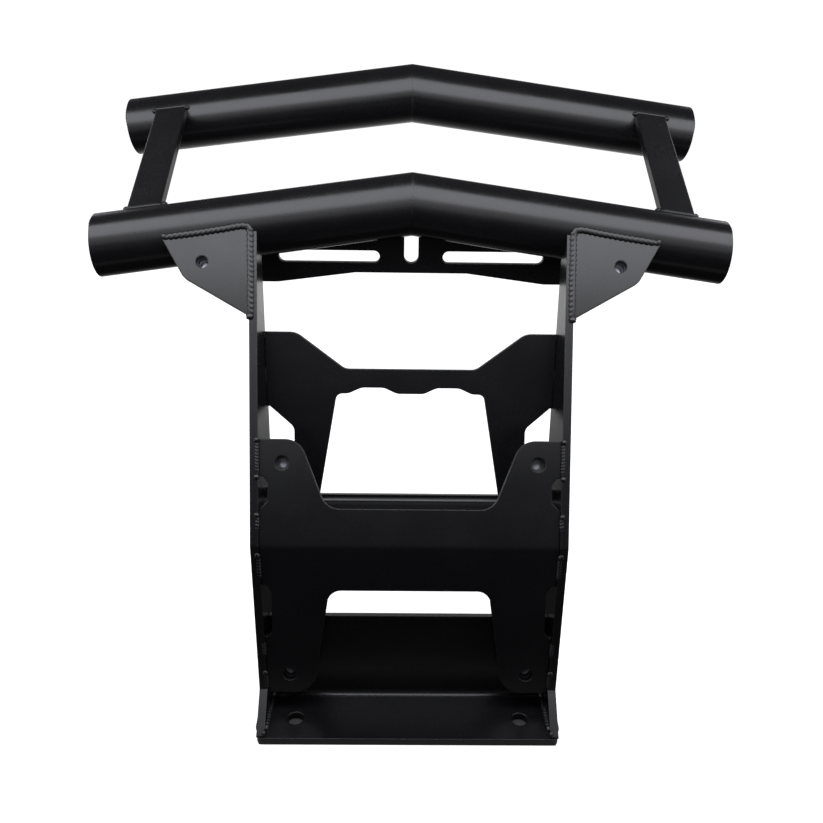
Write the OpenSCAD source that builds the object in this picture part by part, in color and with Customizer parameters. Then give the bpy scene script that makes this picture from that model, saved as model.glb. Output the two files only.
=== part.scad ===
// Front bumper for a four-wheeler, welded from two mitred tubes and flat steel plate.
// X runs across the machine, Y runs back from the front, Z runs up.
// The origin is midway between the two base bolt holes, on the underside of the base plate.

/* [Tubes] */
// Outer diameter of both cross tubes
tube_od = 50.8; // [38:0.1:64]
// Wall of both cross tubes
tube_wall = 3; // [2:0.1:5]
// Angle by which each half falls away from the middle, in degrees
tube_bend = 8.4; // [4:0.1:14]
// Length of each half of the lower tube, from the mitre
lower_half_length = 258; // [235:1:320]
// Length of each half of the upper tube, from the mitre
upper_half_length = 268; // [250:1:330]
// Turn of the lower tube's end cuts away from square, in degrees
lower_end_turn = 6; // [0:1:8]
// Turn of the upper tube's end cuts away from square, in degrees
upper_end_turn = 3; // [0:1:8]
// Thickness of the round caps that close the tube ends
cap_thickness = 4; // [2:0.5:8]
// Lower tube's corner, behind the base plate's front edge
lower_tube_back = 222; // [216:1:230]
// Lower tube's corner, above the base plate's underside
lower_tube_height = 369; // [362:1:376]
// Turn of the lower tube's bend about its length, in degrees
lower_tube_roll = -30; // [-40:1:-15]
// Upper tube's corner, behind the lower tube's corner
tube_step_back = 137; // [110:1:170]
// Upper tube's corner, above the lower tube's corner
tube_step_up = 75; // [55:1:100]
// Turn of the upper tube's bend about its length, in degrees
upper_tube_roll = 26; // [10:1:40]

/* [Straps] */
// Width of the flat bars between the tubes
strap_width = 28.6; // [20:0.1:50]
// Thickness of the flat bars between the tubes
strap_thickness = 6.35; // [4:0.05:10]
// Distance of each strap's lower end from the lower tube's end
strap_low_inset = 44.5; // [35:0.5:60]
// Distance of each strap's upper end from the upper tube's end
strap_high_inset = 47; // [35:0.5:60]
// Height of the straps' upper face above the tubes' centres
strap_rise = 22; // [17:0.5:24]

/* [Side plates] */
// Thickness of the side plates
side_thickness = 6.35; // [4:0.05:10]
// Half the spacing of the side plates' outer faces at the base
side_half_spacing = 116.5; // [105:0.5:130]
// Outward lean of each side plate, in degrees
side_splay = 2.15; // [0:0.05:4]
// Height of the corner in the front edge
prow_height = 142; // [134:1:150]
// Distance of that corner behind the base plate's front edge
prow_back = 58; // [54:1:62]
// Lean of the front edge above the corner, in degrees
upper_lean = 31; // [29:0.5:32]
// Lean of the front edge below the corner, in degrees
lower_lean = 12.8; // [10:0.1:15]
// Height of the sloping toe at the bottom of the front edge
toe_height = 20; // [15:1:26]
// Lean of the rear edge, in degrees
rear_lean = 17.7; // [16:0.1:19]
// Rear edge's distance behind the base plate's front edge, at the prow's height
rear_back = 137; // [132:0.5:142]
// Height at which the rear edge turns in towards the base
rear_knee_height = 136; // [120:1:140]
// Length of the side plates' foot
foot_length = 60; // [56:1:75]

/* [Front plate] */
// Thickness of the front, rear, gusset and crossmember plates
sheet = 5; // [3:0.25:8]
// Inner radius of every fold
fold_radius = 5; // [3:0.5:10]
// Set-back of the front plate behind the side plates' front edges
front_recess = 2; // [0.5:0.5:5]
// Length of the front plate above its fold
ear_length = 82; // [70:1:100]
// Length of the front plate below its fold
leg_length = 122; // [112:1:124]
// Distance of the ears' inner edge from the middle, at the top
ear_inner_x = 86; // [70:1:92]
// Distance of the notch's bottom corners from the middle
notch_x = 64.5; // [50:1:72]
// Height of the notch's bottom above the fold
notch_rise = 28.5; // [18:0.5:45]
// Distance of the legs' inner edge from the middle, at the top
leg_gap_x = 63.5; // [50:1:72]
// Distance of the legs' inner edge from the middle, at the bottom
leg_foot_x = 72; // [60:1:78]
// Depth below the fold at which the gap between the legs starts
leg_gap_drop = 35.5; // [25:0.5:50]
// Corner radius at the top of the gap between the legs
leg_gap_radius = 11; // [6:0.5:18]
// Radius of the legs' inner bottom corner
leg_corner_radius = 18; // [8:0.5:20]
// Depth of the relief notches in the front plate's side edges
relief_depth = 7; // [3:0.5:12]

/* [Rear plate] */
// Height of the rear plate's ears above the base plate's underside
rear_top_height = 272.5; // [264:0.5:278]
// Distance of the ears' inner corner from the middle
rear_ear_x = 94.5; // [80:0.5:105]
// Half the length of the crossbar's straight top
crossbar_half = 54; // [45:1:65]
// Depth of the crossbar's top below the ears
crossbar_drop = 30; // [20:0.5:40]
// Height of the crossbar at the ends of its waves
crossbar_depth = 20.5; // [16:0.5:28]
// Rise of the two waves in the crossbar's lower edge
wave_height = 5; // [1:0.5:7]
// Half the width of the main window at its top
window_top_x = 61; // [54:0.5:68]
// Half the width of the main window at its bottom
window_bottom_x = 75; // [64:0.5:80]
// Height of the main window, in the plate
window_height = 85; // [70:0.5:88]
// Distance of the legs' outer edge from the middle
rear_leg_x = 96; // [90:0.5:102]
// Length of the lip folded forward at the bottom
lip_length = 30; // [20:1:38]

/* [Base plate] */
// Thickness of the base plate
base_thickness = 6; // [4:0.25:10]
// Depth of the base plate, to its fold
base_depth = 51; // [46:1:56]
// Height of the base plate's upstand, which leans like the front plate's legs
upstand_height = 72; // [50:1:90]
// Half the spacing of the base bolt holes
base_hole_x = 88.5; // [70:0.5:98]
// Distance of the base bolt holes behind the front edge
base_hole_back = 21; // [14:0.5:28]
// Diameter of the base bolt holes
base_hole_d = 13; // [9:0.5:16]

/* [Gussets and crossmember] */
// Outer reach of the gussets, from the middle
gusset_reach = 197; // [180:1:215]
// Length of the gussets' edge along the side plates
gusset_height = 74; // [60:1:90]
// Length of the gussets' outer slope
gusset_slope = 35; // [20:1:45]
// Half the length of the slotted crossmember
crossmember_half = 131; // [120:1:136]
// Drop of the crossmember's lower corners below the lower tube's corner
crossmember_drop = 70; // [66:0.5:76]
// Set-back of the crossmember's front face behind the lower tube's corner
crossmember_back = 10; // [6:0.5:14]
// Rise of the crossmember's lower edge towards the middle
crossmember_arch = 9; // [4:0.5:10]
// Width of the slots in the crossmember
slot_width = 10.5; // [8:0.5:12]
// Length of the long slots
slot_length = 86.5; // [60:0.5:90]
// Distance of the long slots' inner ends from the middle
slot_inner_x = 27; // [22:0.5:34]
// Height of the slots' middle above the crossmember's arch
slot_rise = 14; // [12:0.5:16]

/* [Weld nuts] */
// Diameter of the holes in front of the weld nuts
nut_hole_d = 11; // [8.5:0.5:12]
// Thread diameter of the weld nuts
nut_thread_d = 8; // [6:0.5:8]
// Width of the weld nuts across their flats
nut_flats = 14; // [13:0.5:18]
// Height of the weld nuts
nut_height = 7; // [4:0.5:9]

/* [Hidden] */
$fn = 96;
coat = [0.09, 0.09, 0.1];
tube_coat = [0.13, 0.13, 0.14];
zinc = [0.45, 0.46, 0.48];
// Root gap that is left at every welded seam
seam = 0.2;
far = 600;
prow = [prow_back, prow_height];
lower_corner = [0, lower_tube_back, lower_tube_height];
upper_corner = lower_corner + [0, tube_step_back, tube_step_up];
// Half the clear width between the side plates at the base
inner_half = side_half_spacing - side_thickness / cos(side_splay);
// Bottom of the straight front edge, where the toe starts
toe_top = [prow_back - (prow_height - base_thickness - toe_height) * tan(lower_lean),
           base_thickness + toe_height];
// Plane of the side plates' rear edges, which the rear plate and crossmember follow
rear_foot = [rear_back, prow_height];
rear_knee = [rear_back - (prow_height - rear_knee_height) * tan(rear_lean), rear_knee_height];
front_back_run = front_recess + sheet / 2;
relief_round = 4;
ear_round = 16.5;
notch_round = 15;
strap_low_x = lower_half_length - strap_low_inset;
strap_high_x = upper_half_length - strap_high_inset;
ear_hole = [inner_half - 11, ear_length - 18.5];
leg_hole = [inner_half - 17, -leg_length + 16];
// Height of the gussets' upper inner corner, up the side plates' front edges
gusset_top = (lower_tube_height - prow_height) / cos(upper_lean) - tube_od * 0.232;
gusset_hole = [side_half_spacing + (gusset_reach - side_half_spacing) * 0.609, gusset_top - gusset_height * 0.426];

// Point on a tube's centre line at a distance x from the middle
function tube_point(corner, roll, x) =
    corner + [x, x * tan(tube_bend) * sin(roll), -x * tan(tube_bend) * cos(roll)];
// Height at which a plate's plane, starting at p and leaning by a, reaches height z
function lean_back(p, a, z) = p[0] + (z - p[1]) * tan(a);

// Puts the part's parts where they stand, with the base holes on the Y axis
module in_place() translate([0, -base_hole_back, 0]) children();

// Both sides of a shape that is drawn for the right side
module both_sides() {
    children();
    mirror([1, 0, 0]) children();
}

// Draws in a plane through p that leans back by a: x across, y up the plane, z to the front
module on_plane(p, a) translate([0, p[0], p[1]]) rotate([90 - a, 0, 0]) children();

// Turns a side-view drawing, y back and z up, into a width across the bumper
module across(width) rotate([90, 0, 90]) linear_extrude(height = width, center = true) children();

// Room between the side plates, less the seam
module between_sides(reach = far) {
    low = -50;
    high = 500;
    low_x = inner_half + (low - base_thickness) * tan(side_splay) - seam;
    high_x = inner_half + (high - base_thickness) * tan(side_splay) - seam;
    rotate([90, 0, 0]) linear_extrude(height = 2 * reach, center = true)
        polygon([[-low_x, low], [low_x, low], [high_x, high], [-high_x, high]]);
}

// Places and directions along the middle of a folded sheet, with a few steps round each fold
function stations(runs, turns, r, i = 0, p = [0, 0], a = 0) =
    let (q = p + runs[i] * [cos(a), sin(a)])
    i == len(turns) ? [[p, a], [q, a]] :
    let (
        way = sign(turns[i]),
        middle = q + way * r * [-sin(a), cos(a)],
        steps = ceil(abs(turns[i]) / 5),
        end = a + turns[i]
    )
    concat(
        [[p, a]],
        [for (k = [0:steps - 1]) let (b = a + turns[i] * k / steps) [middle + way * r * [sin(b), -cos(b)], b]],
        stations(runs, turns, r, i + 1, middle + way * r * [sin(end), -cos(end)], end)
    );

// Sheet metal seen from its edge: straight runs joined by folds
module folded(runs, turns, t) {
    path = stations(runs, turns, fold_radius + t / 2);
    polygon([
        for (s = path) s[0] + t / 2 * [-sin(s[1]), cos(s[1])],
        for (k = [len(path) - 1:-1:0]) path[k][0] - t / 2 * [-sin(path[k][1]), cos(path[k][1])]
    ]);
}

// Outline through corners [x, y, radius], listed anticlockwise; a radius of 0 leaves a corner sharp
module rounded(corners) {
    n = len(corners);
    arcs = [for (i = [0:n - 1]) corner_arc(corners[(i + n - 1) % n], corners[i], corners[(i + 1) % n])];
    difference() {
        union() {
            polygon([for (a = arcs) for (q = a[0]) q]);
            for (a = arcs) if (a[2] > 0 && a[3] > 0) translate(a[1]) circle(r = a[2]);
        }
        for (a = arcs) if (a[2] > 0 && a[3] < 0) translate(a[1]) circle(r = a[2]);
    }
}

// For one corner: its two tangent points, the arc's centre and radius, and the side it turns to
function corner_arc(before, at, after) =
    let (
        p = [at[0], at[1]],
        u = ([before[0], before[1]] - p) / norm([before[0], before[1]] - p),
        v = ([after[0], after[1]] - p) / norm([after[0], after[1]] - p),
        half = acos(u * v) / 2,
        run = at[2] / tan(half),
        bisector = (u + v) / norm(u + v),
        side = sign(u[1] * v[0] - u[0] * v[1])
    )
    at[2] > 0 ? [[p + run * u, p + run * v], p + at[2] / sin(half) * bisector, at[2], side] : [[p], p, 0, 0];

// Tube seen from its end
module tube_ring() difference() {
    circle(d = tube_od);
    circle(d = tube_od - 2 * tube_wall);
}

// Right half of a tube, cut to a mitre where it meets the left half
module tube_half(corner, roll, half_length, turn) color(tube_coat) translate(corner) rotate([roll, 0, 0]) difference() {
    rotate([0, 90 + tube_bend, 0]) translate([0, 0, -tube_od]) linear_extrude(height = half_length + 2 * tube_od)
        tube_ring();
    translate([seam / 2 - far, -far / 2, -far / 2]) cube([far, far, far]);
    end_slab(half_length, turn, 0, far);
}

// Layer across the end of a tube's right half, from a distance past its end cut
module end_slab(half_length, turn, from, thick) rotate([0, 90 + tube_bend, 0]) translate([0, 0, half_length])
    rotate([0, -turn, 0]) translate([-far / 2, -far / 2, from]) cube([far, far, thick]);

// Space that the right half of a tube needs where plates are coped to it
module cope(corner, roll) translate(corner) rotate([roll, 0, 0]) rotate([0, 90 + tube_bend, 0])
    translate([0, 0, -tube_od]) cylinder(d = tube_od + 2 * seam, h = far);

module lower_cope() cope(lower_corner, lower_tube_roll);

module upper_cope() cope(upper_corner, upper_tube_roll);

// Round cap inside the right end of a tube
module cap(corner, roll, half_length, turn) color(coat) translate(corner) rotate([roll, 0, 0]) intersection() {
    rotate([0, 90 + tube_bend, 0]) translate([0, 0, half_length - tube_od])
        cylinder(d = tube_od - 2 * tube_wall - 2 * seam, h = 2 * tube_od);
    end_slab(half_length, turn, -cap_thickness, cap_thickness);
}

module lower_cap() cap(lower_corner, lower_tube_roll, lower_half_length, lower_end_turn);

module upper_cap() cap(upper_corner, upper_tube_roll, upper_half_length, upper_end_turn);

// Flat bar from the back of the lower tube to the front of the upper one
module strap() {
    low = tube_point(lower_corner, lower_tube_roll, strap_low_x);
    high = tube_point(upper_corner, upper_tube_roll, strap_high_x);
    run = high - low;
    slope = atan2(run[2], run[1]);
    skew = atan2(run[0], norm([run[1], run[2]]));
    color(coat) difference() {
        translate(low) rotate([slope, 0, 0]) rotate([0, 0, -skew]) rotate([0, tube_bend, 0])
            translate([-strap_width / 2, 0, strap_rise - strap_thickness])
            cube([strap_width, norm(run), strap_thickness]);
        lower_cope();
        upper_cope();
    }
}

// Right side plate: toe, prow and rear knee in one cut outline, coped to the lower tube
module side_plate() {
    top = lower_tube_height;
    color(coat) difference() {
        translate([side_half_spacing, 0, base_thickness]) rotate([0, side_splay, 0])
            translate([-side_thickness / 2, 0, -base_thickness + seam / 2]) across(side_thickness) polygon([
                [1, base_thickness], [foot_length, base_thickness],
                rear_knee, [lean_back(rear_foot, rear_lean, top), top],
                [lean_back(prow, upper_lean, top), top], prow, toe_top
            ]);
        lower_cope();
        side_plate_crop();
    }
}

// Takes off what would stand above the tube's centre line, in front of it
module side_plate_crop() {
    p = tube_point(lower_corner, lower_tube_roll, side_half_spacing + 12);
    on_plane([p[1], p[2]], 90 - 4) translate([0, 0, far / 2 + 3]) cube([far, far, far], center = true);
}

// Right gusset: fills the corner outside a side plate, under the lower tube
module gusset() {
    inner_x = side_half_spacing + seam;
    outer_top = gusset_top - 11;
    slope_x = gusset_reach - gusset_slope * sin(30);
    slope_low = outer_top - 3 - gusset_slope * cos(30);
    color(coat) difference() {
        on_plane(prow, upper_lean) translate([0, 0, -sheet]) difference() {
            linear_extrude(height = sheet) rounded([
                [inner_x + gusset_side(gusset_top), gusset_top, 0],
                [inner_x + gusset_side(gusset_top - gusset_height), gusset_top - gusset_height, 0],
                [slope_x, slope_low, 12], [gusset_reach, outer_top - 3, 2], [gusset_reach, outer_top, 0]
            ]);
            translate([gusset_hole[0], gusset_hole[1], -1])
                cylinder(d = nut_hole_d - 1, h = sheet + 2);
        }
        lower_cope();
    }
}

// How far the side plate's outer face has moved out, at a distance s up the front edge
function gusset_side(s) = (s * cos(upper_lean) + prow_height - base_thickness) * tan(side_splay);

// Upright plate with slots, hung under the back of the lower tube
module slotted_crossmember() {
    foot = lower_tube_height - crossmember_drop;
    back = lower_tube_back + crossmember_back;
    slot_z = crossmember_arch + slot_rise;
    hang = tube_od * 0.28;
    middle = lower_tube_height - foot - hang;
    end = tube_point(lower_corner, lower_tube_roll, crossmember_half)[2] - foot - hang;
    color(coat) difference() {
        translate([0, back + sheet, foot]) rotate([90, 0, 0]) difference() {
            linear_extrude(height = sheet) polygon([
                [-crossmember_half, 0], [-crossmember_half + 16, 0], [-48, crossmember_arch], [48, crossmember_arch],
                [crossmember_half - 16, 0], [crossmember_half, 0], [crossmember_half, end], [0, middle],
                [-crossmember_half, end]
            ]);
            both_sides() slot(slot_inner_x, slot_z, slot_length, slot_width);
            rotate(90) slot(crossmember_arch + slot_rise - slot_width / 2, 0, slot_width * 2.7, slot_width * 1.15);
        }
        both_sides() lower_cope();
    }
}

// Cutter for a slot that starts at x and runs on for a length
module slot(x, y, length, width) translate([x, y, -1]) {
    translate([width / 2, 0, 0]) cylinder(d = width, h = sheet + 2);
    translate([length - width / 2, 0, 0]) cylinder(d = width, h = sheet + 2);
    translate([width / 2, -width / 2, 0]) cube([length - width, width, sheet + 2]);
}

// Rear plate: two ears, a waved crossbar, two splayed legs and a lip folded forward
module rear_plate() {
    p = [lean_back(rear_foot, rear_lean, rear_top_height), rear_top_height];
    run = (rear_top_height - prow_height) / cos(rear_lean);
    // Extra height that the outline takes off again
    spare = 2;
    color(coat) difference() {
        intersection() {
            across(2 * far) translate(p + spare * [sin(rear_lean), cos(rear_lean)]
                + sheet / 2 * [-cos(rear_lean), sin(rear_lean)])
                rotate(-90 - rear_lean) folded([run + spare, lip_length], [-(90 - rear_lean)], sheet);
            between_sides();
        }
        on_plane(p, rear_lean) translate([0, 0, -sheet]) linear_extrude(height = 3 * sheet) rear_cutouts();
    }
}

// Openings of the rear plate, drawn down from the ears' top edge
module rear_cutouts() {
    top = -crossbar_drop;
    low = top - crossbar_depth;
    side = far / 4;
    rounded([
        [-side, 0, 0], [-rear_ear_x, 0, 16], [-crossbar_half, top, 11], [crossbar_half, top, 11],
        [rear_ear_x, 0, 16], [side, 0, 0], [side, 20, 0], [-side, 20, 0]
    ]);
    // Main window, with two waves in its top edge
    rounded([
        [-window_bottom_x, low - window_height, 0], [window_bottom_x, low - window_height, 0],
        [window_top_x, low, 6], for (q = wave(1, low)) q, for (q = wave(-1, low)) q, [-window_top_x, low, 6]
    ]);
    // Windows between the legs and the side plates
    foot = low - window_height + 6;
    both_sides() rounded([
        [side, top - 31.5, 0], [rear_leg_x + 20, top - 31.5, 0], [rear_leg_x, top - 49, 8],
        [rear_leg_x, foot, 8], [side, foot, 0]
    ]);
}

// Corners of the wave on one side of the middle, from right to left
function wave(way, low) =
    let (mid = way * window_top_x * 0.51, foot = window_top_x * 0.33, crest = window_top_x * 0.15)
    [
        [mid + foot, low, 12], [mid + crest, low + wave_height, 12],
        [mid - crest, low + wave_height, 12], [mid - foot, low, 12]
    ];

// Front plate: folded at the prow, with two ears above and two legs below
module front_plate() {
    mid = (upper_lean + lower_lean) / 2;
    turn = upper_lean - lower_lean;
    cut_off = (fold_radius + sheet / 2) * tan(turn / 2);
    corner = prow + front_back_run / cos(turn / 2) * [cos(mid), -sin(mid)];
    start = corner - (leg_length) * [sin(lower_lean), cos(lower_lean)];
    color(coat) difference() {
        intersection() {
            across(2 * far) translate(start) rotate(90 - lower_lean)
                folded([leg_length - cut_off, ear_length - cut_off], [-turn], sheet);
            between_sides();
        }
        on_plane(corner, upper_lean) translate([0, 0, -2 * sheet]) linear_extrude(height = 4 * sheet) ear_cutouts();
        on_plane(corner, lower_lean) translate([0, 0, -2 * sheet]) linear_extrude(height = 4 * sheet) leg_cutouts();
        both_sides() {
            on_plane(corner, upper_lean) translate([ear_hole[0], ear_hole[1], -2 * sheet])
                cylinder(d = nut_hole_d, h = 4 * sheet);
            on_plane(corner, lower_lean) translate([leg_hole[0], leg_hole[1], -2 * sheet])
                cylinder(d = nut_hole_d, h = 4 * sheet);
        }
    }
}

// Notch between the ears, the ears' round corners and the relief at their outer edges
module ear_cutouts() {
    top = ear_length;
    rounded([
        [-notch_x, notch_rise, notch_round], [notch_x, notch_rise, notch_round],
        [ear_inner_x, top, 0], [ear_inner_x + (top - notch_rise) * 0.1, top + 9, 0],
        [-ear_inner_x - (top - notch_rise) * 0.1, top + 9, 0], [-ear_inner_x, top, 0]
    ]);
    both_sides() ear_corner();
    side = inner_half + (prow_height + 35 - base_thickness) * tan(side_splay);
    both_sides() polygon([
        [side - relief_depth, 34], [side - relief_depth, 48], [side - relief_depth + relief_round, 53],
        [side + 20, 53], [side + 20, 25.5], [side + 1.5, 25.5]
    ]);
}

// What is cut off the round inner corner of the right ear
module ear_corner() {
    slope = atan2(ear_inner_x - notch_x, ear_length - notch_rise);
    run = ear_round * tan((90 - slope) / 2);
    difference() {
        polygon([
            [ear_inner_x - 1, ear_length + 1], [ear_inner_x + run, ear_length + 1],
            [ear_inner_x + run, ear_length], [ear_inner_x - run * sin(slope), ear_length - run * cos(slope)],
            [ear_inner_x - run * sin(slope) - 1, ear_length - run * cos(slope)]
        ]);
        translate([ear_inner_x + run, ear_length - ear_round]) circle(r = ear_round);
    }
}

// Gap between the legs, the legs' round corners and the relief at their outer edges
module leg_cutouts() {
    low = -leg_length;
    gap_top = -leg_gap_drop;
    polygon([
        [-leg_gap_x + leg_gap_radius, gap_top], [leg_gap_x - leg_gap_radius, gap_top],
        [leg_gap_x, gap_top - leg_gap_radius], [leg_foot_x, low + leg_corner_radius],
        [leg_foot_x, low - 9], [-leg_foot_x, low - 9], [-leg_foot_x, low + leg_corner_radius],
        [-leg_gap_x, gap_top - leg_gap_radius]
    ]);
    both_sides() {
        translate([leg_gap_x - leg_gap_radius, gap_top - leg_gap_radius]) circle(r = leg_gap_radius);
        difference() {
            translate([leg_foot_x - 1, low - 1]) square(leg_corner_radius + 1);
            translate([leg_foot_x + leg_corner_radius, low + leg_corner_radius]) circle(r = leg_corner_radius);
        }
    }
    side = inner_half + (prow_height - 50 - base_thickness) * tan(side_splay);
    both_sides() polygon([
        [side - relief_depth, -37], [side - relief_depth + relief_round, -31], [side + 20, -31],
        [side + 20, -74], [side - relief_depth + relief_round, -74], [side - relief_depth, -70]
    ]);
}

// Base plate: flat under the side plates, then folded up as a low back wall between them
module base_plate() {
    turn = 90 - lower_lean;
    cut_off = (fold_radius + base_thickness / 2) * tan(turn / 2);
    rise = (upstand_height - base_thickness / 2) / cos(lower_lean);
    color(coat) difference() {
        intersection() {
            across(2 * far) translate([0, base_thickness / 2])
                folded([base_depth - cut_off, rise - cut_off], [turn], base_thickness);
            union() {
                between_sides();
                base_footprint(side_half_spacing);
            }
        }
        both_sides() translate([base_hole_x, base_hole_back, -1]) cylinder(d = base_hole_d, h = base_thickness + 2);
    }
}

// Flat part of the base plate, as wide as the side plates, with round front corners
module base_footprint(edge) {
    corner_r = 5;
    straight = base_depth - base_thickness - fold_radius;
    translate([0, 0, -1]) linear_extrude(height = base_thickness + 1) union() {
        translate([-edge, corner_r]) square([2 * edge, straight - corner_r]);
        translate([-edge + corner_r, 0]) square([2 * (edge - corner_r), straight]);
        for (s = [-1, 1]) translate([s * (edge - corner_r), corner_r]) circle(r = corner_r);
    }
}

// Hexagonal weld nut, standing on the back of a plate
module weld_nut() difference() {
    cylinder(d = nut_flats / cos(30), h = nut_height, $fn = 6);
    translate([0, 0, -1]) cylinder(d = nut_thread_d, h = nut_height + 2);
}

// Six nuts: behind the ears, the legs and the gussets
module weld_nuts() {
    mid = (upper_lean + lower_lean) / 2;
    turn = upper_lean - lower_lean;
    corner = prow + front_back_run / cos(turn / 2) * [cos(mid), -sin(mid)];
    color(zinc) both_sides() {
        on_plane(corner, upper_lean) translate([ear_hole[0], ear_hole[1], -sheet / 2 - nut_height]) weld_nut();
        on_plane(corner, lower_lean) translate([leg_hole[0], leg_hole[1], -sheet / 2 - nut_height]) weld_nut();
        on_plane(prow, upper_lean) translate([gusset_hole[0], gusset_hole[1], -sheet - nut_height]) weld_nut();
    }
}

module lower_tube() tube_half(lower_corner, lower_tube_roll, lower_half_length, lower_end_turn);

module upper_tube() tube_half(upper_corner, upper_tube_roll, upper_half_length, upper_end_turn);

in_place() mirror([1, 0, 0]) lower_tube();  // lower_tube_left
in_place() lower_tube();  // lower_tube_right
in_place() mirror([1, 0, 0]) upper_tube();  // upper_tube_left
in_place() upper_tube();  // upper_tube_right
in_place() mirror([1, 0, 0]) lower_cap();  // lower_tube_cap_left
in_place() lower_cap();  // lower_tube_cap_right
in_place() mirror([1, 0, 0]) upper_cap();  // upper_tube_cap_left
in_place() upper_cap();  // upper_tube_cap_right
in_place() mirror([1, 0, 0]) strap();  // strap_left
in_place() strap();  // strap_right
in_place() mirror([1, 0, 0]) side_plate();  // side_plate_left
in_place() side_plate();  // side_plate_right
in_place() mirror([1, 0, 0]) gusset();  // gusset_left
in_place() gusset();  // gusset_right
in_place() slotted_crossmember();
in_place() rear_plate();
in_place() front_plate();
in_place() base_plate();
in_place() weld_nuts();
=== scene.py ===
import math

import bpy
import numpy as np
from mathutils import Matrix, Vector


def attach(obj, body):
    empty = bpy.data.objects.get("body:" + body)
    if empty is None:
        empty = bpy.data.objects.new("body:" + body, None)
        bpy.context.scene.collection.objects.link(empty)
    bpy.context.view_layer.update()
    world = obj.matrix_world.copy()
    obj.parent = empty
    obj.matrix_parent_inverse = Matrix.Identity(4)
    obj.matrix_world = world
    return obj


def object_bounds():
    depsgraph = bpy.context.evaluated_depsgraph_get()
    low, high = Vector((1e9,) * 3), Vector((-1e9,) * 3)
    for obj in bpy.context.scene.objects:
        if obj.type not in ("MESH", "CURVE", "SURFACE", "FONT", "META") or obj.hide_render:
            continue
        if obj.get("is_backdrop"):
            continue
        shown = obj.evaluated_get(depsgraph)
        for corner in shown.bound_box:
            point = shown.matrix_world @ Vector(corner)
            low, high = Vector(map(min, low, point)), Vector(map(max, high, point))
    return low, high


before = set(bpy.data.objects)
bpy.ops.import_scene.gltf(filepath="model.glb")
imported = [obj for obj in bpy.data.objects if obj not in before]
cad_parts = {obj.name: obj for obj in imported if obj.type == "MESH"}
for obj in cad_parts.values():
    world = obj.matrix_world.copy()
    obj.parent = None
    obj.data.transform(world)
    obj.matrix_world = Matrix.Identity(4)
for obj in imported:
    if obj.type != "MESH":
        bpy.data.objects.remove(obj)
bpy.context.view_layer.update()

MM = 0.001
rng = np.random.default_rng(7)


# Small helpers
def colour(hexed):
    """An sRGB hex such as 1a1a1c as a linear colour with full alpha."""
    v = [int(hexed[i:i + 2], 16) / 255 for i in (0, 2, 4)]
    return (*[c / 12.92 if c < 0.04045 else ((c + 0.055) / 1.055) ** 2.4 for c in v], 1)


def add(tree, kind, values=None, links=None, **settings):
    """Adds a node to a tree: settings are its properties, values its constant inputs, links its fed inputs."""
    n = tree.nodes.new(kind)
    for k, v in settings.items():
        setattr(n, k, v)
    for k, v in (values or {}).items():
        n.inputs[k].default_value = v
    for k, v in (links or {}).items():
        tree.links.new(v, n.inputs[k])
    return n


def ramp(tree, fac, stops):
    """A colour ramp of (position, grey) stops."""
    n = add(tree, "ShaderNodeValToRGB", links={"Fac": fac})
    e = n.color_ramp.elements
    while len(e) < len(stops):
        e.new(0.5)
    for s, (p, g) in zip(e, stops):
        s.position, s.color = p, (g, g, g, 1)
    return n.outputs["Color"]


# Materials
def powder_coat(name, base, rough, peel=0.1, edge=0.7, metal=0.0):
    """Semi-gloss black powder coat: nearly black body, orange-peel skin, softly rounded and slightly
    brighter plate edges, roughness that wanders where the coat is thicker, and a little fine dust."""
    m = bpy.data.materials.new(name)
    m.use_nodes = True
    t = m.node_tree
    t.nodes.clear()
    place = add(t, "ShaderNodeTexCoord").outputs["Object"]
    # orange peel: cells about 1.6 mm across, seen as a faint unevenness in the highlights
    skin = add(t, "ShaderNodeTexNoise", {"Scale": 620.0, "Detail": 2.0, "Roughness": 0.5}, {"Vector": place})
    # slow waves of coat thickness, about 25 mm apart, which bend the highlights a little
    flow = add(t, "ShaderNodeTexNoise", {"Scale": 40.0, "Detail": 1.0}, {"Vector": place})
    patches = add(t, "ShaderNodeTexNoise", {"Scale": 22.0, "Detail": 4.0, "Roughness": 0.6},
                  {"Vector": place})
    dust = add(t, "ShaderNodeTexNoise", {"Scale": 2600.0, "Detail": 1.0}, {"Vector": place})
    round_edge = add(t, "ShaderNodeBevel", {"Radius": edge * MM}, samples=6)
    slow = add(t, "ShaderNodeBump", {"Strength": 0.12, "Distance": 0.4 * MM},
               {"Height": flow.outputs["Fac"], "Normal": round_edge.outputs["Normal"]})
    bump = add(t, "ShaderNodeBump", {"Strength": peel, "Distance": 0.05 * MM},
               {"Height": skin.outputs["Fac"], "Normal": slow.outputs["Normal"]})
    roughness = add(t, "ShaderNodeMapRange", {"From Min": 0.3, "From Max": 0.7, "To Min": rough - 0.03,
                                              "To Max": rough + 0.05}, {"Value": patches.outputs["Fac"]})
    speck = ramp(t, dust.outputs["Fac"], [(0.70, 0.0), (0.80, 1.0)])
    body = add(t, "ShaderNodeMix", {"A": colour(base), "B": colour("303036")}, {"Factor": speck},
               data_type="RGBA")
    shader = add(t, "ShaderNodeBsdfPrincipled", {"IOR": 1.5, "Metallic": metal},
                 {"Base Color": body.outputs["Result"], "Roughness": roughness.outputs["Result"],
                  "Normal": bump.outputs["Normal"]})
    out = add(t, "ShaderNodeOutputMaterial")
    t.links.new(shader.outputs["BSDF"], out.inputs["Surface"])
    return m


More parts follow.
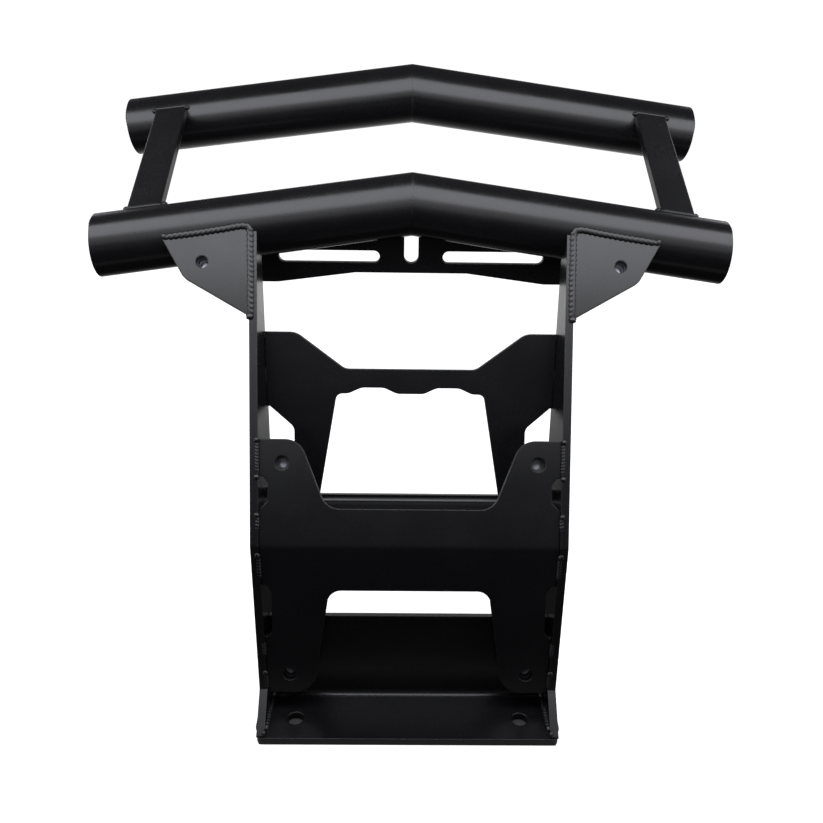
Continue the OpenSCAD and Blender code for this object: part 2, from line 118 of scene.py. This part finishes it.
coat_plate = powder_coat("powder_coat_on_plate", "0f0f11", 0.25, edge=1.2)
coat_tube = powder_coat("powder_coat_on_tube", "0e0e10", 0.24, peel=0.08, edge=0.6)
coat_weld = powder_coat("powder_coat_over_weld", "141416", 0.30, peel=0.05, edge=0.2)
coat_nut = powder_coat("thin_coat_on_weld_nut", "3a3a3e", 0.34, peel=0.05, edge=0.3)
bare_nut = powder_coat("zinc_inside_weld_nut", "b8b9c0", 0.30, peel=0.05, edge=0.1, metal=1.0)

for node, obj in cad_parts.items():
    coat = coat_nut if node == "weld_nuts" else coat_tube if "tube" in node else coat_plate
    obj.data.materials.clear()
    obj.data.materials.append(coat)


# New surfaces
def mesh(name, verts, faces, material):
    me = bpy.data.meshes.new(name)
    me.from_pydata((np.asarray(verts) * MM).tolist(), [], [tuple(int(i) for i in f) for f in faces])
    me.update()
    me.shade_smooth()
    me.materials.append(material)
    o = bpy.data.objects.new(name, me)
    bpy.context.collection.objects.link(o)
    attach(o, "root")
    return o


def unit(v):
    v = np.asarray(v, float)
    return v / np.linalg.norm(v, axis=-1, keepdims=True)


def bead(path, lift, width=5.0, height=3.0, pitch=2.6, depth=0.13, around=12, slant=0.0):
    """A weld bead: a flattened round section (width across, height along lift) swept along a path in mm.
    Its size is 1 plus depth times a swell, which is 0.6 of the phase's sine and 0.4 of that sine bent forward.
    The phase turns once per pitch of the path's length. It runs ahead at the sides by 0.3 of the width times
    the squared cosine of the angle round the section, like a fish scale, and by slant of the width times the
    cosine. Both ends close round. Returns verts and faces."""
    path = np.asarray(path, float)
    seg = np.linalg.norm(np.diff(path, axis=0), axis=1)
    run = np.r_[0, np.cumsum(seg)]
    length = run[-1]
    n = max(8, int(length / pitch * 5))
    u = np.linspace(0, length, n)
    mid = np.stack([np.interp(u, run, path[:, k]) for k in range(3)], 1)
    lift = np.asarray(lift, float)
    if lift.ndim == 1:
        lift = np.repeat(lift[None], len(path), 0)
    up = unit(np.stack([np.interp(u, run, lift[:, k]) for k in range(3)], 1))
    along = unit(np.gradient(mid, u, axis=0))
    side = unit(np.cross(along, up))
    up = np.cross(side, along)
    knots = max(3, int(length / 9))
    wander = np.interp(u, np.linspace(0, length, knots), rng.normal(0, 0.16, knots))
    a = np.linspace(0, 2 * math.pi, around, endpoint=False)
    bent = width * (0.30 * np.cos(a) ** 2 + slant * np.cos(a))
    phase = 2 * math.pi * (u[:, None] + bent[None]) / pitch + wander[:, None] * 4
    swell = 1 + depth * (0.6 * np.sin(phase) + 0.4 * np.sin(phase + 0.9 * np.sin(phase)))
    ends = np.sqrt(np.clip(1 - (np.abs(u - length / 2) / (length / 2)) ** max(2.0, length / width), 0.02, 1))
    ring = swell * ends[:, None]
    p = (mid[:, None] + ring[..., None] * (np.cos(a)[None, :, None] * side[:, None] * width / 2
         + np.sin(a)[None, :, None] * up[:, None] * height / 2) + wander[:, None, None] * side[:, None])
    verts = np.concatenate([p.reshape(-1, 3), mid[[0, -1]]])
    i, j = np.meshgrid(np.arange(n - 1), np.arange(around), indexing="ij")
    k = (j + 1) % around
    after = (i + 1) * around
    quads = np.stack([i * around + j, i * around + k, after + k, after + j], -1).reshape(-1, 4)
    j = np.arange(around)
    k = (j + 1) % around
    first = np.stack([np.full(around, n * around), k, j], 1)
    last = np.stack([np.full(around, n * around + 1), (n - 1) * around + j, (n - 1) * around + k], 1)
    return verts, [*quads, *first, *last]


def joined(name, parts, both=False, material=coat_weld):
    """One object of several surfaces, and of their mirror images in X where both sides have them."""
    verts, faces, at = [], [], 0
    for v, f in parts:
        for s in ((1, -1) if both else (1,)):
            verts.append(v * [s, 1, 1])
            faces += [tuple(int(i) + at for i in (q if s == 1 else q[::-1])) for q in f]
            at += len(v)
    return mesh(name, np.concatenate(verts), faces, material)


# Places in mm, as in the solids
BEND, OD, BACK = math.radians(8.4), 50.8, 21.0
LOW_ROLL, HIGH_ROLL = math.radians(-30), math.radians(26)
LOW = np.array([0, 222 - BACK, 369.0])
HIGH = LOW + [0, 137, 75]
PROW = np.array([58 - BACK, 142.0])
UP, DOWN, REAR = (math.radians(v) for v in (31, 12.8, 17.7))
HALF, SPLAY, THICK = 116.5, math.radians(2.15), 6.35


def tube_axis(roll):
    return unit([1, math.tan(BEND) * math.sin(roll), -math.tan(BEND) * math.cos(roll)])


def tube_at(corner, roll, x):
    ax = tube_axis(roll)
    return corner + ax * (x / ax[0])


def face_x(z, inner=False):
    """Half spacing of the side plates' outer or inner faces at a height."""
    return HALF + (z - 6) * math.tan(SPLAY) - (THICK if inner else 0)


def edge_at(s, x, out=0.0):
    """A point on the plane of the side plates' front edges, s mm up from the prow (down if negative)."""
    a = UP if s >= 0 else DOWN
    n = np.array([0, -math.cos(a), math.sin(a)])
    return np.array([x, PROW[0] + s * math.sin(a), PROW[1] + s * math.cos(a)]) + n * out


N_UP = np.array([0, -math.cos(UP), math.sin(UP)])
N_DOWN = np.array([0, -math.cos(DOWN), math.sin(DOWN)])


def height_of(s):
    return PROW[1] + s * math.cos(UP if s >= 0 else DOWN)


# gussets: one bead along the tube, round the corner and down the seam on the side plate's front edge
top = [edge_at(*point) for point in (
    (240.8, 196.5, 0.2), (241.6, 192, 0.4), (244.6, 173, 0.4), (248.2, 152, 0.5),
    (250.9, 138, 0.6), (251.4, 132.5, 0.7), (249.8, 129.2, 0.6), (245, 128.2, 0.2))]
seam = [edge_at(s, face_x(height_of(s)) - 1.4, 0.0) for s in np.linspace(240, 178, 12)]
gusset_run = bead(top + seam, N_UP, 5.4, 2.8, 4.1, 0.20, slant=-0.35)
gusset_tip = bead([edge_at(242.4, 193.5, 0.4), edge_at(241.0, 198.0, 0.0)], N_UP, 6.0, 4.0, 3.0, 0.1)
x = face_x(height_of(178)) - 1.0
gusset_foot = bead([edge_at(181, x, 0.2), edge_at(175.5, x, 0.2)], N_UP, 6.2, 4.0, 2.6, 0.16)
joined("weld_beads_of_gussets", [gusset_run, gusset_tip, gusset_foot], both=True)

# front plate to side plates: short stitches down the inner corner of the front edges
stitches = []
for s0, s1 in ((81, 55), (24, 12), (-6, -27), (-78, -92), (-104, -120)):
    n = N_UP if s0 > 0 else N_DOWN
    pts = [edge_at(s, face_x(height_of(s), True) + 0.6, -1.2) for s in np.linspace(s0, s1, 8)]
    stitches.append(bead(pts, unit(n + [-0.7, 0, 0]), 3.6, 2.8, 2.5, 0.20))
for s in (81.5, 53, 24, -7, -105):
    a, b = (edge_at(q, face_x(height_of(q), True) + 1.0, 0.1) for q in (s + 2.2, s - 2.2))
    stitches.append(bead([a, b], unit((N_UP if s > 0 else N_DOWN) + [-0.4, 0, 0]), 4.6, 3.0, 2.0, 0.22))
joined("weld_beads_of_front_plate", stitches, both=True)

# side plates to base plate, outside and in, with a blob at each toe
feet = []
for x, lean, width, height in ((face_x(6) + 0.4, 0.7, 3.2, 2.6), (face_x(6, True) - 0.4, -0.7, 5.0, 4.2)):
    pts = [[x, y, 6.6] for y in np.linspace(8 - BACK, 44 - BACK, 8)]
    feet.append(bead(pts, unit([lean, 0, 1]), width, height, 3.0, 0.14))
feet.append(bead([[113, -17, 7.5], [109, -16, 7.5]], [0, 0, 1], 6.0, 5.0))
feet.append(bead([[109.4, 22.0, 6.8], [109.4, 28.0, 9.8]], [-0.7, -0.3, 0.7], 4.8, 4.2))
joined("weld_beads_of_base", feet, both=True)


# straps to tubes: a thin bead across each end, a blob at each corner
def strap_beads():
    out = []
    ends = ((LOW, LOW_ROLL, 213.5, 1, 3.4, 4.8), (HIGH, HIGH_ROLL, 221.0, -1, 20.8, 2.2))
    for corner, roll, x, way, reach, width in ends:
        c, ax = tube_at(corner, roll, x), tube_axis(roll)
        up = unit(np.array([0, 0, 1.0]) - ax * ax[2])
        back = np.cross(up, ax) * way
        across = unit(back * reach + up * math.sqrt((OD / 2) ** 2 - reach ** 2))
        line = [c + across * (OD / 2 + 0.3) + ax * k for k in np.linspace(-14.5, 14.5, 9)]
        out.append(bead(line, across, width, width * 0.62, 2.7, 0.14))
        for k in (-15.4, 15.4):
            turn = unit(across + back * 0.35)
            pair = [c + unit(across + back * q) * (OD / 2 + 0.5) + ax * k for q in (0.0, 0.38)]
            out.append(bead(pair, turn, 5.2, 4.0, 2.4, 0.16))
    return out


joined("weld_beads_of_straps", strap_beads(), both=True)


def ring_bead(centre, axis, radius, width, height, pitch, depth):
    """A bead round a tube: its path is a circle about the axis."""
    axis = unit(axis)
    a0 = unit(np.cross(axis, [0, 0, 1.0]))
    b0 = np.cross(axis, a0)
    t = np.radians(np.linspace(0, 360, 73))
    rad = np.cos(t)[:, None] * a0 + np.sin(t)[:, None] * b0
    return bead(centre + rad * radius, rad, width, height, pitch, depth, around=8)


# the mitre in the middle of both tubes, ground almost flush
middle = [ring_bead(c, [1, 0, 0], OD / 2 - 0.34, 3.6, 0.9, 2.6, 0.10) for c in (LOW, HIGH)]
joined("weld_beads_of_mitres", middle)

# caps to tube ends, just inside the rims
caps = []
for corner, roll, length in ((LOW, LOW_ROLL, 257.4), (HIGH, HIGH_ROLL, 267.4)):
    ax = tube_axis(roll)
    caps.append(ring_bead(corner + ax * length, ax, OD / 2 - 3.2, 2.6, 1.8, 3.0, 0.10))
joined("weld_beads_of_caps", caps, both=True)

# crossmember to tube, front and back of the plate, seen from below and behind
cross = []
for dy, lean in ((9.8, -0.6), (15.4, 0.6)):
    pts = []
    for x in np.linspace(3, 124, 20):
        c = tube_at(LOW, LOW_ROLL, x)
        y = LOW[1] + dy
        reach = y - c[1]
        if abs(reach) < OD / 2 - 0.3:
            pts.append([x, y, c[2] - math.sqrt((OD / 2) ** 2 - reach ** 2) - 0.4])
    cross.append(bead(pts, unit([0, lean, -1]), 4.2, 3.2, 3.0, 0.12))
joined("weld_beads_of_crossmember", cross, both=True)

# rear plate to side plates, stitched down the back
rear = []
for z0, z1 in ((268, 244), (232, 214), (176, 160)):
    pts = []
    for z in np.linspace(z0, z1, 6):
        y = 137 - BACK + (z - 142) * math.tan(REAR) + 0.4
        pts.append([face_x(z, True) - 0.6, y, z])
    rear.append(bead(pts, unit([-0.5, 1, -0.3]), 4.6, 3.4, 2.9, 0.14))
joined("weld_beads_of_rear_plate", rear, both=True)

NUT_LENGTH = 7.0


def thread(mouth, axis, major=8.0, pitch=1.25, length=NUT_LENGTH, turn=48):
    """Inside of a threaded bore. The radius is half the major diameter in the groove and 0.6 of the pitch less
    on the crest. Between them it follows a flat-topped triangle wave of the depth in pitches less the angle in
    turns, which fades out at both ends."""
    axis = unit(axis)
    a0 = unit(np.cross(axis, [1, 0, 0]))
    b0 = np.cross(axis, a0)
    rows = int(length / pitch * 12)
    depths = np.linspace(0.05, length - 0.05, rows)
    z, a = np.meshgrid(depths, np.linspace(0, 2 * math.pi, turn, endpoint=False), indexing="ij")
    wave = np.abs(((z / pitch - a / (2 * math.pi)) % 1.0) * 2 - 1)
    fade = np.clip(np.minimum(z, length - z) / 0.7, 0, 1)
    r = major / 2 - 0.06 - 0.6 * pitch * np.clip(wave * 1.3 - 0.15, 0, 1) * fade
    p = mouth + r[..., None] * (np.cos(a)[..., None] * a0 + np.sin(a)[..., None] * b0) - z[..., None] * axis
    i, j = np.meshgrid(np.arange(rows - 1), np.arange(turn), indexing="ij")
    k = (j + 1) % turn
    after = (i + 1) * turn
    quads = np.stack([i * turn + j, after + j, after + k, i * turn + k], -1).reshape(-1, 4)
    return p.reshape(-1, 3), list(quads)


# each nut's bore starts at the back face of its plate
nuts = [(np.array([99.146, 79.08, 191.64]), N_UP), (np.array([93.146, 23.6, 35.6]), N_DOWN),
        (np.array([165.524, 158.37, 327.48]), N_UP)]
joined("threads_of_weld_nuts", [thread(c, n) for c, n in nuts], both=True, material=bare_nut)


def nut_end(mouth, axis, length=NUT_LENGTH, turn=32):
    """The closed end behind a nut: a shallow dome, 5.2 mm in radius, hollow towards the bore. Its profile of
    radius and depth behind the nut is turned about the axis."""
    axis = unit(axis)
    a0 = unit(np.cross(axis, [1, 0, 0]))
    b0 = np.cross(axis, a0)
    hollow = [(0.02, 0.75), (2.2, 0.6), (4.0, 0.1), (5.2, -0.02)]
    profile = hollow + [(5.2, 0.7), (4.4, 1.3), (2.4, 1.75), (0.02, 1.9)]
    a = np.linspace(0, 2 * math.pi, turn, endpoint=False)
    out = np.cos(a)[:, None] * a0 + np.sin(a)[:, None] * b0
    rows = [mouth - (length + d) * axis + r * out for r, d in profile]
    i, j = np.meshgrid(np.arange(len(profile) - 1), np.arange(turn), indexing="ij")
    k = (j + 1) % turn
    after = (i + 1) * turn
    quads = np.stack([i * turn + j, i * turn + k, after + k, after + j], -1).reshape(-1, 4)
    inner, outer = np.arange(turn)[::-1], np.arange(turn) + (len(profile) - 1) * turn
    return np.concatenate(rows), [*quads, inner, outer]


joined("closed_ends_of_weld_nuts", [nut_end(c, n) for c, n in nuts], both=True, material=bare_nut)


# Floor, light and camera
me = bpy.data.meshes.new("floor")
me.from_pydata([(-8, -6, -0.0005), (8, -6, -0.0005), (8, 14, -0.0005), (-8, 14, -0.0005)], [], [(0, 1, 2, 3)])
floor = bpy.data.objects.new("floor", me)
bpy.context.collection.objects.link(floor)
floor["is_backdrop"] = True
paper = bpy.data.materials.new("studio_paper")
paper.use_nodes = True
t = paper.node_tree
t.nodes.clear()
path = add(t, "ShaderNodeLightPath")
spot = add(t, "ShaderNodeSeparateXYZ", links={"Vector": add(t, "ShaderNodeTexCoord").outputs["Object"]})
# seen only in reflections, the paper glows white behind the bumper and is dim in front of it; a painted shadow
# keeps it dim under and behind the bumper, and a painted glow lights a faint strip just in front of the base
# plate
behind = add(t, "ShaderNodeMapRange", {"From Min": 0.32, "From Max": 1.12, "To Min": 0.02, "To Max": 0.95},
             {"Value": spot.outputs["Y"]})
# painted glow in reflections: a faint strip on the paper just in front of the base plate
before = add(t, "ShaderNodeMapRange", {"From Min": -0.10, "From Max": -0.02, "To Min": 0.02, "To Max": 0.24},
             {"Value": spot.outputs["Y"]})
far = add(t, "ShaderNodeMapRange", {"From Min": 1.8, "From Max": 3.4, "To Min": 1.0, "To Max": 0.3},
          {"Value": spot.outputs["Y"]})
behind = add(t, "ShaderNodeMath", {}, {0: behind.outputs["Result"], 1: far.outputs["Result"]},
             operation="MULTIPLY")
under = add(t, "ShaderNodeMath", {1: 0.0}, {0: spot.outputs["Y"]}, operation="LESS_THAN")
painted_glow_in_front = add(t, "ShaderNodeMath", {}, {0: before.outputs["Result"], 1: under.outputs[0]}, operation="MULTIPLY")
seen_in_gloss = add(t, "ShaderNodeMath", {}, {0: behind.outputs[0], 1: painted_glow_in_front.outputs[0]}, operation="MAXIMUM")
# and pale again well out to both sides
out_x = add(t, "ShaderNodeMath", links={0: spot.outputs["X"]}, operation="ABSOLUTE")
sides = add(t, "ShaderNodeMapRange", {"From Min": 0.7, "From Max": 1.6, "To Min": 0.0, "To Max": 0.6},
            {"Value": out_x.outputs[0]})
seen_in_gloss = add(t, "ShaderNodeMath", {}, {0: seen_in_gloss.outputs[0], 1: sides.outputs["Result"]},
                    operation="MAXIMUM")
dim = add(t, "ShaderNodeEmission", links={"Strength": seen_in_gloss.outputs[0]})
place = add(t, "ShaderNodeTexCoord").outputs["Object"]
away = add(t, "ShaderNodeVectorMath", links={0: place}, operation="LENGTH")
glare = add(t, "ShaderNodeMapRange", {"From Min": 0.4, "From Max": 1.8, "To Min": 0.86, "To Max": 1.0},
            {"Value": away.outputs["Value"]})
# painted shadow: under the base plate, seen through the bolt holes, the paper loses its glow and is painted dark
# grey
over = add(t, "ShaderNodeMath", links={0: spot.outputs["X"]}, operation="ABSOLUTE")
over = add(t, "ShaderNodeMath", {1: 0.115}, {0: over.outputs[0]}, operation="GREATER_THAN")
rear = add(t, "ShaderNodeMath", {1: 0.020}, {0: spot.outputs["Y"]}, operation="GREATER_THAN")
clear = add(t, "ShaderNodeMath", {}, {0: over.outputs[0], 1: rear.outputs[0]}, operation="MAXIMUM")
fore = add(t, "ShaderNodeMath", {1: -0.0205}, {0: spot.outputs["Y"]}, operation="LESS_THAN")
clear = add(t, "ShaderNodeMath", {}, {0: clear.outputs[0], 1: fore.outputs[0]}, operation="MAXIMUM")
glare = add(t, "ShaderNodeMath", {}, {0: glare.outputs["Result"], 1: clear.outputs[0]}, operation="MULTIPLY")
glow = add(t, "ShaderNodeEmission", links={"Strength": glare.outputs[0]})
# painted shadow: the paper under the base plate is painted dark grey instead of near white
paper_colour_with_painted_shadow = add(t, "ShaderNodeMix", {"A": colour("484848"), "B": colour("f2f2f2")}, {"Factor": clear.outputs[0]},
           data_type="RGBA")
lit = add(t, "ShaderNodeBsdfDiffuse", links={"Color": paper_colour_with_painted_shadow.outputs["Result"]})
seen = add(t, "ShaderNodeAddShader")
t.links.new(glow.outputs[0], seen.inputs[0])
t.links.new(lit.outputs[0], seen.inputs[1])
mix = add(t, "ShaderNodeMixShader",
          links={0: path.outputs["Is Camera Ray"], 1: dim.outputs[0], 2: seen.outputs[0]})
out = add(t, "ShaderNodeOutputMaterial")
t.links.new(mix.outputs[0], out.inputs["Surface"])
me.materials.append(paper)

world = bpy.data.worlds.new("studio")
bpy.context.scene.world = world
world.use_nodes = True
t = world.node_tree
t.nodes.clear()
path = add(t, "ShaderNodeLightPath")
way = add(t, "ShaderNodeSeparateXYZ", links={"Vector": add(t, "ShaderNodeTexCoord").outputs["Generated"]})
# the backdrop is white from the floor to a little above eye level; above it and in front the studio is dark
behind = add(t, "ShaderNodeMapRange", {"From Min": 0.1, "From Max": 0.5, "To Min": 0.06, "To Max": 1.0},
             {"Value": way.outputs["Y"]})
below = add(t, "ShaderNodeMapRange", {"From Min": 0.08, "From Max": 0.30, "To Min": 1.0, "To Max": 0.05},
            {"Value": way.outputs["Z"]})
backdrop = add(t, "ShaderNodeMath", {}, {0: behind.outputs["Result"], 1: below.outputs["Result"]},
               operation="MULTIPLY")
# pale walls to the left and right
out_x = add(t, "ShaderNodeMath", links={0: way.outputs["X"]}, operation="ABSOLUTE")
walls = add(t, "ShaderNodeMapRange", {"From Min": 0.55, "From Max": 0.8, "To Min": 0.0, "To Max": 0.7},
            {"Value": out_x.outputs[0]})
room = add(t, "ShaderNodeMath", {}, {0: backdrop.outputs[0], 1: walls.outputs["Result"]}, operation="MAXIMUM")
glossy = add(t, "ShaderNodeMath", {}, {0: path.outputs["Is Glossy Ray"], 1: room.outputs[0]},
             operation="MULTIPLY")
white = add(t, "ShaderNodeMath", links={0: path.outputs["Is Camera Ray"], 1: path.outputs["Is Transmission Ray"]},
            operation="MAXIMUM")
level = add(t, "ShaderNodeMath", {}, {0: glossy.outputs[0], 1: white.outputs[0]}, operation="MAXIMUM")
level = add(t, "ShaderNodeMath", {1: 0.06}, {0: level.outputs[0]}, operation="MAXIMUM")
back = add(t, "ShaderNodeBackground", {"Color": (1, 1, 1, 1)}, {"Strength": level.outputs[0]})
out = add(t, "ShaderNodeOutputWorld")
t.links.new(back.outputs[0], out.inputs["Surface"])


def softbox(name, centre, facing, across, wide, high, watts):
    """A rectangular area light at a place in metres, its wide side along across."""
    lamp = bpy.data.lights.new(name, "AREA")
    lamp.shape, lamp.size, lamp.size_y, lamp.energy = "RECTANGLE", wide, high, watts
    lamp.color = (0.93, 0.94, 1.0)
    o = bpy.data.objects.new(name, lamp)
    z = -Vector(facing).normalized()
    x = Vector(across).normalized()
    y = z.cross(x)
    o.matrix_world = Matrix.Translation(centre) @ Matrix((x, y, z)).transposed().to_4x4()
    bpy.context.collection.objects.link(o)
    return o


# one tall softbox over the front, fading towards its lower edge: part, its ends along the box, radiance
foot, head, box_width = np.array([0, -0.126, 0.556]), np.array([0, 0.178, 0.928]), 1.7
softbox_parts = (("main", 0.20, 0.86, 3.8), ("fade_1", 0.05, 0.20, 3.8), ("fade_2", -0.10, 0.05, 1.1),
                 ("fade_3", -0.30, -0.10, 0.80), ("fade_4", -0.39, -0.30, 0.46), ("fade_5", -0.62, -0.39, 0.05))
for part, t0, t1, radiance in softbox_parts:
    high = (t1 - t0) * float(np.linalg.norm(head - foot))
    softbox("key_softbox_" + part, foot + (head - foot) * (t0 + t1) / 2, (0, 0.774, -0.633), (1, 0, 0),
            box_width, high, radiance * math.pi * box_width * high)
# two weaker ones behind, to the left and right, which shape the back and the sides
rear_width, rear_height, rear_radiance = 0.9, 0.6, 1.4
for side, hand in ((-1, "left"), (1, "right")):
    softbox("rear_softbox_" + hand, (side * 1.1, 1.0, 0.75), (-side * 0.70, -0.62, -0.36),
            (0.62, -side * 0.70, 0), rear_width, rear_height, rear_radiance * math.pi * rear_width * rear_height)

cam = bpy.data.cameras.new("camera")
cam.sensor_width, cam.lens = 36.0, 37.18
cam.clip_start, cam.clip_end = 0.02, 60
camera = bpy.data.objects.new("camera", cam)
camera_place = (-0.00854, -0.5063, 0.5103)
pitch, yaw, roll = (math.radians(v) for v in (25.0, 0.87, 0.92))
ahead = Vector((math.sin(yaw) * math.cos(pitch), math.cos(yaw) * math.cos(pitch), -math.sin(pitch)))
right = ahead.cross(Vector((0, 0, 1))).normalized()
upward = right.cross(ahead)
turned = (math.cos(roll) * right + math.sin(roll) * upward, math.cos(roll) * upward - math.sin(roll) * right)
camera.matrix_world = Matrix.Translation(camera_place) @ Matrix((*turned, -ahead)).transposed().to_4x4()
bpy.context.collection.objects.link(camera)
scene = bpy.context.scene
scene.camera = camera
scene.view_settings.view_transform = "Standard"

low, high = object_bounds()
